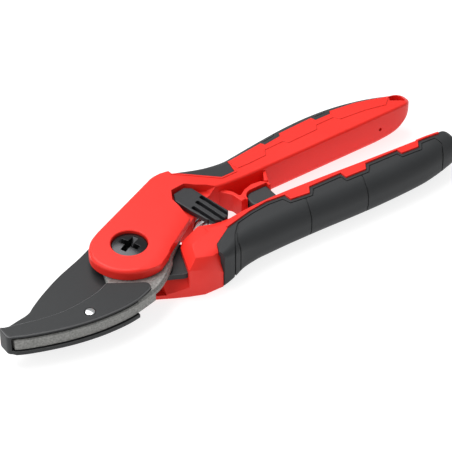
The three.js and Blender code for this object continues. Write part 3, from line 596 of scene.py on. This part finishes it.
work(upper, "UNION", [
    cup,
    slab("arm wall", arm_wall, 5.2, cup_top + 0.3, low=0.2, high=0.3),
    slab("gusset", gusset, bumper_low.z, cup_top + 0.5, high=0.25),
    slab("pocket floor", pocket_floor, 5.4, 7),
])
# openings: screw hole, lever recess with its sloping end, lanyard pocket, cord hole, tang
lever_low, lever_high = (drawn(corner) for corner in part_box("lock_lever"))
recess = cornered([(27.5, 11.8, 0.5), (27.5, 0.4, 1), (24, -10, 0), (44, -10, 0), (44, 9.5, 0),
                   (40.9, 12.9, 0.4), (39.4, 14.7, 0.6), (36.5, 17.2, 0.7), (30.2, 16.7, 0.7)])
ramp = slab("ramp", [(36, 5), (48, 5), (46.9, 9), (43.6, 12.1), (39.2, 14.7), (36, 14)], 10, 24)
ramp_profile = [(38, 13.6), (43.4, 14.2), (46.9, head_top - 0.3), (48, 22), (38, 22)]
work(ramp, "INTERSECT", [loft("slope", [[(x, y, z) for x, z in ramp_profile] for y in (20, 4)])])
seat = drawn(sum(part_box("spring_seat_upper"), Vector()) / 2)
pocket = cornered([(136.2, 15.4, 0.8), (142.2, 12.2, 0.8), (143, 13.2, 0.6), (142.5, 16.2, 0.8),
                   (139.2, 18.4, 0.8)])
work(upper, "DIFFERENCE", [
    turned("screw hole", [(0, 10), (7.1, 10), (7.1, head_top - 0.3), (7.4, head_top), (7.4, 25), (0, 25)]),
    slab("recess", recess, lever_low.z - 0.3, 25, low=0.3),
    ramp,
    slab("pocket", pocket, upper_top - 6, 25, low=0.8),
    round_bar("cord hole", 0.75, (127.6, 4, 8.6), (127.6, 13, 8.6), sides=20),
    slab("tang slot", inset(tang, -0.3), arm_floor - 0.2, arm_top + 0.2),
    round_bar("seat hole", 4.9, (seat.x, -20, seat.z), (seat.x, 8.4, seat.z), sides=48),
])
finished(upper, red_plastic, "upper_handle", "upper_handle")

# ---------------------------------------------------------------- soft skin, upper handle
# Black rubbery plastic moulded over the outside of the red bar. Its border steps round the
# red tabs, and a fine moulded line runs inside the border.
soft_black = finish_material("soft black skin", (0.021, 0.0225, 0.024), (0.033, 0.035, 0.037), 0.62,
                             3400, 70, 0.00005, drift=0.1, specular=0.35, edge=0.0003)
line_depth = 0.35
upper_skin = upper_bar()
work(upper_skin, "INTERSECT", [slab("zone", inset(upper_zone, 0.12), -5, 30)])
work(upper_skin, "DIFFERENCE", [upper_bar(grow=-skin_depth + 0.1)])
groove = slab("line", strip(skin_border[4:], 2.0, 2.35), -5, 30)
work(groove, "DIFFERENCE", [upper_bar(grow=-line_depth)])
work(upper_skin, "DIFFERENCE", [groove])
finished(upper_skin, soft_black, "upper_handle", "upper_grip")

# ---------------------------------------------------------------- bumper
# A rubber block pushed into the red bracket. The handles close against it. Its corners on
# the side of the jaws are rounded, and the bracket fits round the back one.
bumper_outline = cornered([(right, back, 0.9), (left, back, 4.0), (left, bumper_low.y, 3.2),
                           (right, bumper_low.y, 0.9)], 8)
bumper = slab("bumper_block", bumper_outline, bumper_low.z, bumper_high.z, low=0.6, high=0.7, steps=5)
rubber = finish_material("bumper rubber", (0.016, 0.017, 0.018), (0.028, 0.029, 0.031), 0.5, 2600, 80,
                         0.00004)
finished(bumper, rubber, "upper_handle", "bumper")

# ---------------------------------------------------------------- blade
# Spring steel with the same dark coating, stamped and edged. It passes under the
# counter-blade, and its tang goes into the lower handle.
blade_floor, blade_top = levels("blade")
blade_disc = 14.4
blade_cut = [(-56.3, -12), (-46.9, -17), (-38.8, -18.8), (-31.3, -18.6), (-21.3, -16.6), (-10.6, -13)]
blade_back = [(-9.1, 13.6), (-16.3, 10.4), (-28.1, 6), (-37.5, 1.4), (-43.8, -2.3), (-47.8, -4.9),
              (-53.1, -5.9), (-56.9, -6.6)]
blade_outline = (flowing(blade_cut) + arc(0, 0, blade_disc, 234, 450, 50)[1:] + [(-4, 15.2)]
                 + flowing(blade_back) + [(-58, -8.2), (-57.8, -10)])
blade = slab("blade_plate", blade_outline, blade_floor, blade_top, low=0.15, high=0.25)
blade_tang = [(6, -13), (24, -19.4), (54, -20), (54, -12.6), (26, -12), (13, 2)]
blade_heel = [(-1, -13), (0.6, -14.4), (5.2, -16.4), (11.4, -19.6), (16, -20.4), (16, -12)]
work(blade, "UNION", [slab("tang", blade_tang, blade_floor, blade_top, low=0.1, high=0.1),
                      slab("heel", blade_heel, blade_floor, blade_top, low=0.1, high=0.25)])
work(blade, "DIFFERENCE", [round_bar("hole", 4.8, (0, 0, 0), (0, 0, 20))])
finished(blade, dark_coating, "lower_handle", "blade")

# ---------------------------------------------------------------- lower handle
# The other red half: a flange under the blade, a faceted head over the blade's tang, and a
# bar whose outer side and end carry the soft skin.
flange_radius = 15.4
flange_top = 7.9
lower_floor, lower_top = levels("lower_handle")
lower_inner_line = [(23, -8), (26, -7), (35.8, -9.4), (40, -8.2), (50, -7.2), (64, -7.1), (86.7, -8.5),
                    (102.9, -9.8), (133.8, -11.9), (141.9, -12), (handle_end, -12.6)]
lower_outer_line = [(24, -25), (28, -24.9), (32.9, -24), (37, -22.9), (42.8, -22.5), (49, -22.5),
                    (60, -22.5), (76, -23), (91.1, -23.8), (105.9, -24.2), (123.5, -23.8), (135.2, -22.4),
                    (142.6, -20.6), (handle_end, -19.6)]
lower_floor_line = [(126.4, lower_floor), (138.2, lower_floor + 0.9), (handle_end, lower_floor + 2)]
lower_top_line = [(132.3, lower_top), (139.7, lower_top - 0.6), (handle_end, lower_top - 1.6)]
lower_corner_line = [(24, 1.5), (30, 3), (38, 5.4), (46, 7)]
lower_border = [(26.4, -31), (26.2, -24.7), (25.6, -22.3), (27.4, -18.2), (36.2, -12.8), (48.2, -10),
                (57, -9), (65.2, -9.9), (65.6, -13.3), (73.9, -14.4), (75.9, -11.3), (91, -11.6),
                (91.3, -14.9), (100.6, -15.4), (102.6, -12.4), (118, -13), (118.4, -15.6), (126.3, -16.2),
                (128.4, -13.2), (138.9, -13.6), (141.1, -8)]
# corners of the head: foot, level of the edge above it, corner of the crown
head_corners = [((12.3, -21.9), 13.4, (16.5, -20.2, 16.6)),
                ((14.6, -15.6), 13.4, (18, -16.5, 16.6)),
                ((16.9, -9.3), 13.4, (19.5, -12.9, 16.6)),
                ((19.2, -7), 13.9, (21.4, -12.3, 16.6)),
                ((27.8, -4.8), 15.7, (28.3, -11, 16.6)),
                ((34.2, -7.2), 15.7, (35.3, -10, 16.6)),
                ((44, -8.4), 15.9, (43, -9.6, 16.6)),
                ((44, -22), 10, (43, -18, 16.6)),
                ((32, -23.6), 8, (31, -19.4, 16.3)),
                ((26.4, -24.5), 7.4, (26, -21.4, 15.4)),
                ((22.8, -24.6), 10.6, (22.9, -22, 15.6)),
                ((18, -24.2), 12.7, (19.4, -21.2, 16.3))]
crown_middle = [(18, -18.6), (19, -16), (20, -13.5), (22, -12.8), (28.3, -11.4), (35.3, -10.6), (42, -10.4),
                (42, -16), (31, -17), (26, -18.4), (23, -19.4), (20.4, -19.6)]


def lower_bar(grow=0.0, start=24):
    """The bar of the lower handle, with its skin. Grow makes it thicker or thinner all round."""
    return handle_bar("lower_grip_skin", start, lower_inner_line, lower_outer_line, lower_floor_line,
                      lower_top_line, -1, lower_corner_line, 1.0, grow)


flange_outline = (arc(0, 0, flange_radius, 30, 270, 50) + [(7.2, -19.4), (12.3, -21.9), (18, -24.2)]
                  + [(26, -24.5), (34, -23.6), (34, -10), (25, -6)])
lower = slab("lower_handle_shell", flange_outline, lower_floor, flange_top, low=0.6, high=0.2)
# the flange's top slopes down to its outer edge, and drops a step beside the arm
slope_edge = [(2.1, -16.7, 1.9), (4.8, -18.1, 2.7), (12.3, -22, 5), (14, -22.9, 5.5)]
slope = loft("slope", [[(x - 1.4, y - 2.7, z), (x, y, z), (x + 1.6, y + 3.1, flange_top + 0.05),
                        (x + 1.6, y + 3.1, 12), (x - 1.4, y - 2.7, 12)] for x, y, z in slope_edge])
step = slab("step", [(-20, -9), (-20, -30), (4.6, -30), (4.6, -9)], 2.2, flange_top + 1)
work(lower, "DIFFERENCE", [slope, step])
feet = [foot for foot, edge, crown in head_corners]
lower_head = loft("lower head", [[(x, y, lower_floor) for x, y in inset(feet, 0.8)],
                                 [(x, y, lower_floor + 0.8) for x, y in feet],
                                 [(*foot, edge) for foot, edge, crown in head_corners],
                                 [crown for foot, edge, crown in head_corners],
                                 [(x, y, lower_top) for x, y in crown_middle]])
triangles = bmesh.new()
triangles.from_mesh(lower_head.data)
bmesh.ops.triangulate(triangles, faces=[face for face in triangles.faces if len(face.verts) == 4])
triangles.to_mesh(lower_head.data)
triangles.free()
work(lower, "UNION", [lower_head, lower_bar(start=29)])
lower_zone = lower_border + [(160, -8), (160, -45), (26.4, -45)]
skin_room = slab("skin room", lower_zone, -5, 30)
work(skin_room, "DIFFERENCE", [lower_bar(grow=-skin_depth - 0.1)])
work(lower, "DIFFERENCE", [skin_room])
lower_lip_height = 0.55
lip = slab("lip", strip(lower_border[4:-1], 0.05, 0.9), 8, 30)
work(lip, "INTERSECT", [lower_bar(grow=lower_lip_height)])
work(lower, "UNION", [lip])
seat = drawn(sum(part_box("spring_seat_lower"), Vector()) / 2)
work(lower, "DIFFERENCE", [
    slab("tang slot", inset(blade_tang, -0.3), blade_floor - 0.3, blade_top + 0.3),
    round_bar("screw hole", 3.2, (0, 0, -1), (0, 0, 12)),
    round_bar("nut pocket", 5.5, (0, 0, -1), (0, 0, 4.2)),
    round_bar("seat hole", 4.9, (seat.x, -9.8, seat.z), (seat.x, 20, seat.z), sides=48),
])
finished(lower, red_plastic, "lower_handle", "lower_handle")

# ---------------------------------------------------------------- soft skin, lower handle
# The same black skin, wrapped over the outside and the end of the lower bar. It has a fine
# line inside its border and three narrow grooves across it, between the fingers.
lower_skin = lower_bar()
work(lower_skin, "INTERSECT", [slab("zone", inset(lower_zone, 0.12), -5, 30)])
work(lower_skin, "DIFFERENCE", [lower_bar(grow=-skin_depth + 0.1)])
line_path = [(28.6, -30), (31.5, -25), (36.6, -17.6), (41.2, -13), (49.2, -11.5), (57, -10.8),
             (63.2, -11.4), (64.3, -14.9), (74.3, -16.2), (76.9, -13.2), (89.7, -13.4), (90.2, -16.7),
             (101, -17.3), (103.6, -14.3), (116.7, -14.8), (117.2, -17.4), (126.9, -18.1), (129.2, -15.1),
             (135.4, -15.3), (136.2, -18.5), (133.6, -23), (131, -30)]
band_paths = [[(41.4, -12.6), (37.6, -16.6), (35, -21), (33.6, -30)],
              [(70.7, -15.6), (69.2, -20), (67, -30)],
              [(97, -17), (95.8, -21), (94.2, -30)]]
band_width, band_depth = 0.5, 0.4
grooves = slab("line", strip(line_path, 0, 0.4), -5, 30)
work(grooves, "UNION", [slab("band", strip(path, 0, band_width), -5, 30) for path in band_paths])
work(grooves, "DIFFERENCE", [lower_bar(grow=-band_depth)])
work(lower_skin, "DIFFERENCE", [grooves])
finished(lower_skin, soft_black, "lower_handle", "lower_grip")

# ---------------------------------------------------------------- pivot
# A domed cross-recess screw with a dark bright plating holds the two halves. It sits on a
# washer, runs in a bush in the blade and ends in a nut in the flange.
dark_chrome = finish_material("dark plating", (0.030, 0.030, 0.032), (0.052, 0.052, 0.055), 0.2, 3000,
                              120, 0.000006, drift=0.1, metal=0.9)
screw_floor, screw_top = levels("pivot_screw")
seat_level = levels("screw_washer")[1] + 0.1
screw_head = 6.8
shank = 3
rim = screw_top - 0.2
crown = rim + 0.75
dome_turn = 0.22
dome_radius = screw_head / math.sin(dome_turn)
dome = [(dome_radius * math.sin(a), crown - dome_radius * (1 - math.cos(a)))
        for a in np.linspace(dome_turn - 0.005, 0.02, 12)]
screw = turned("pivot_screw_body", [
    (0, screw_floor), (shank - 0.4, screw_floor), (shank, screw_floor + 0.4), (shank, seat_level),
    (screw_head - 0.2, seat_level), (screw_head, seat_level + 0.2), (screw_head, rim - 0.2),
] + dome + [(0, crown)], sides=96)
# half length, half width and level of a wing of the cross, from its bottom up
wing_sizes = ((1.5, 0.4, crown - 3.2), (4.4, 1.2, crown - 0.2), (4.7, 1.3, crown + 1))
wings = []
for turn in (24, 114):
    spin = Matrix.Rotation(math.radians(turn), 4, "Z")
    rings = [[spin @ Vector(corner) for corner in ((-x, -y, z), (x, -y, z), (x, y, z), (-x, y, z))]
             for x, y, z in wing_sizes]
    wings.append(loft("wing", rings))
work(screw, "DIFFERENCE", wings)
finished(screw, dark_chrome, "upper_handle", "pivot_screw", sharp=28)

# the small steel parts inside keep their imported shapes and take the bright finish
for name in ("screw_washer", "pivot_bush", "pivot_nut", "lever_pin", "spring_seat_upper",
             "spring_seat_lower", "arm_pin_1", "arm_pin_2", "blade_pin_1", "blade_pin_2"):
    frame["nodes"][name].data.materials.clear()
    frame["nodes"][name].data.materials.append(bright_steel)

# ---------------------------------------------------------------- return spring
# A coil of bright spring wire between a seat in each handle, with closed ends. On the real tool
# it is squeezed when closed and one end moves with each handle; here it is one fixed coil, in neither body.
low, high = (drawn(corner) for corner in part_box("return_spring"))
wire_radius = 0.55
coil_radius = 3.85
spring_turns = 7.5


def spring_tree():
    """Wire of a given radius along a coil with closed end turns."""
    tree = bpy.data.node_groups.new("coil spring", "GeometryNodeTree")
    for label, value in (("Coil Radius", 3.85), ("Wire Radius", 0.55), ("Length", 15.0), ("Turns", 7.0)):
        socket = tree.interface.new_socket(label, in_out="INPUT", socket_type="NodeSocketFloat")
        socket.default_value = value
    tree.interface.new_socket("Wire", in_out="INPUT", socket_type="NodeSocketMaterial")
    tree.interface.new_socket("Geometry", in_out="OUTPUT", socket_type="NodeSocketGeometry")
    given, out = tree.nodes.new("NodeGroupInput"), tree.nodes.new("NodeGroupOutput")
    coil = tree.nodes.new("GeometryNodeCurveSpiral")
    coil.inputs["Resolution"].default_value = 40
    tree.links.new(given.outputs["Turns"], coil.inputs["Rotations"])
    tree.links.new(given.outputs["Coil Radius"], coil.inputs["Start Radius"])
    tree.links.new(given.outputs["Coil Radius"], coil.inputs["End Radius"])
    coil.inputs["Height"].default_value = 0
    share = tree.nodes.new("GeometryNodeSplineParameter")
    pitch = tree.nodes.new("ShaderNodeFloatCurve")
    points = pitch.mapping.curves[0].points
    points[0].location, points[1].location = (0, 0), (1, 1)
    points.new(0.14, 0.07)
    points.new(0.86, 0.93)
    pitch.mapping.update()
    tree.links.new(share.outputs["Factor"], pitch.inputs["Value"])
    height = math_node(tree, "MULTIPLY", pitch.outputs[0], given.outputs["Length"])
    offset = tree.nodes.new("ShaderNodeCombineXYZ")
    tree.links.new(height, offset.inputs["Z"])
    moved = tree.nodes.new("GeometryNodeSetPosition")
    tree.links.new(coil.outputs["Curve"], moved.inputs["Geometry"])
    tree.links.new(offset.outputs[0], moved.inputs["Offset"])
    section = tree.nodes.new("GeometryNodeCurvePrimitiveCircle")
    section.inputs["Resolution"].default_value = 12
    tree.links.new(given.outputs["Wire Radius"], section.inputs["Radius"])
    sweep = tree.nodes.new("GeometryNodeCurveToMesh")
    sweep.inputs["Fill Caps"].default_value = True
    tree.links.new(moved.outputs["Geometry"], sweep.inputs["Curve"])
    tree.links.new(section.outputs["Curve"], sweep.inputs["Profile Curve"])
    real = tree.nodes.new("GeometryNodeRealizeInstances")
    tree.links.new(sweep.outputs["Mesh"], real.inputs["Geometry"])
    paint = tree.nodes.new("GeometryNodeSetMaterial")
    tree.links.new(real.outputs["Geometry"], paint.inputs["Geometry"])
    tree.links.new(given.outputs["Wire"], paint.inputs["Material"])
    tree.links.new(paint.outputs["Geometry"], out.inputs["Geometry"])
    return tree


def from_tree(name, tree, **values):
    """A plain mesh of what the tree makes with these values."""
    obj = bpy.data.objects.new(name, bpy.data.meshes.new(name))
    bpy.context.scene.collection.objects.link(obj)
    step = obj.modifiers.new("tree", "NODES")
    step.node_group = tree
    for socket in tree.interface.items_tree:
        if socket.item_type == "SOCKET" and socket.in_out == "INPUT" and socket.name in values:
            step[socket.identifier] = values[socket.name]
    return made_plain(obj)


spring = from_tree("return_spring_coil", spring_tree(), **{
    "Coil Radius": coil_radius, "Wire Radius": wire_radius, "Length": high.y - low.y - 2 * wire_radius,
    "Turns": spring_turns, "Wire": bright_steel})
spring_foot = ((low.x + high.x) / 2, low.y + wire_radius, (low.z + high.z) / 2)
spring.data.transform(Matrix.Translation(spring_foot) @ Matrix.Rotation(math.radians(-90), 4, "X"))
spring.data.transform(to_tool)
spring.data.polygons.foreach_set("use_smooth", [True] * len(spring.data.polygons))
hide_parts("return_spring")
low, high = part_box("return_spring")
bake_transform(spring)

# ---------------------------------------------------------------- lock lever
# A thumb lever of satin black plastic on a pin in the upper head. Three slots along its
# back give grip, and its nose locks the lower head.
lever_plastic = finish_material("lever plastic", (0.014, 0.015, 0.017), (0.024, 0.025, 0.028), 0.42,
                                2800, 60, 0.00003, specular=0.4, edge=0.0003)
lever_outline = cornered([(30.4, 15.4, 0.6), (35.8, 16.3, 0.6), (38.3, 14.3, 0.6), (39.3, 8.9, 3),
                          (42.2, -4.6, 0.5), (40, -7.4, 0.5), (37, -8.2, 0.5), (32.4, -4.8, 0.6),
                          (30.2, 3.6, 3), (28.5, 11.6, 0.6)])
lever = slab("lock_lever_body", lever_outline, lever_low.z, lever_high.z, low=0.3, high=0.45)
slot_depth = 1.9
slot_end = -11
slots = []
for (x, y), end_x in (((32, 4.6), 34.8), ((35.1, 6.5), 38.1), ((38.1, 8.1), 41.4)):
    outline = cornered([(x - 0.9, y, 0.6), (end_x - 0.9, slot_end, 0), (end_x + 0.85, slot_end, 0),
                        (x + 0.85, y + 0.4, 0.6)])
    slots.append(slab("slot", outline, lever_high.z - slot_depth, 25, low=0.2))
work(lever, "DIFFERENCE", slots)
finished(lever, lever_plastic, "lock_lever", "lock_lever")

# ---------------------------------------------------------------- floor, light and camera
# A plain white floor, a large soft box overhead and behind, a smaller one on the left, and
# a long lens from the front left.
scene = bpy.context.scene
scene.view_settings.view_transform = "Standard"
floor_mesh = bpy.data.meshes.new("floor")
floor_mesh.from_pydata([(-6, -6, 0), (6, -6, 0), (6, 6, 0), (-6, 6, 0)], [], [(0, 1, 2, 3)])
floor = bpy.data.objects.new("floor", floor_mesh)
floor.location.z = -0.0002
scene.collection.objects.link(floor)
paper = bpy.data.materials.new("white paper")
paper.use_nodes = True
sheet = paper.node_tree.nodes["Principled BSDF"]
sheet.inputs["Base Color"].default_value = (0.34, 0.34, 0.34, 1)
sheet.inputs["Roughness"].default_value = 0.9
sheet.inputs["Emission Color"].default_value = (1, 1, 1, 1)
sheet.inputs["Emission Strength"].default_value = 0.8
floor_mesh.materials.append(paper)

world = bpy.data.worlds.new("studio")
world.use_nodes = True
world.node_tree.nodes["Background"].inputs["Color"].default_value = (1, 1, 1, 1)
world.node_tree.nodes["Background"].inputs["Strength"].default_value = 0.4
scene.world = world


def soft_box(name, location, target, size, power):
    """A soft rectangular light aimed at the target."""
    light = bpy.data.lights.new(name, "AREA")
    light.shape = "RECTANGLE"
    light.size, light.size_y = size
    light.energy = power
    obj = bpy.data.objects.new(name, light)
    obj.location = location
    obj.rotation_euler = (Vector(target) - Vector(location)).to_track_quat("-Z", "Y").to_euler()
    scene.collection.objects.link(obj)


soft_box("overhead", (-0.12, 0.4, 0.85), (0, 0, 0), (0.9, 0.7), 9.6)
soft_box("left", (-0.8, 0.1, 0.45), (0, 0, 0), (0.5, 0.6), 2.2)

camera_data = bpy.data.cameras.new("camera")
camera_data.lens = 2200 / 452 * 36
camera_data.sensor_width = 36
camera_data.clip_start = 0.01
camera = bpy.data.objects.new("camera", camera_data)
camera.location = to_tool @ Vector((-328.05, -531.94, 561.0))
camera.rotation_euler = Vector((0.4355, 0.6220, -0.6508)).to_track_quat("-Z", "Y").to_euler()
scene.collection.objects.link(camera)
scene.camera = camera
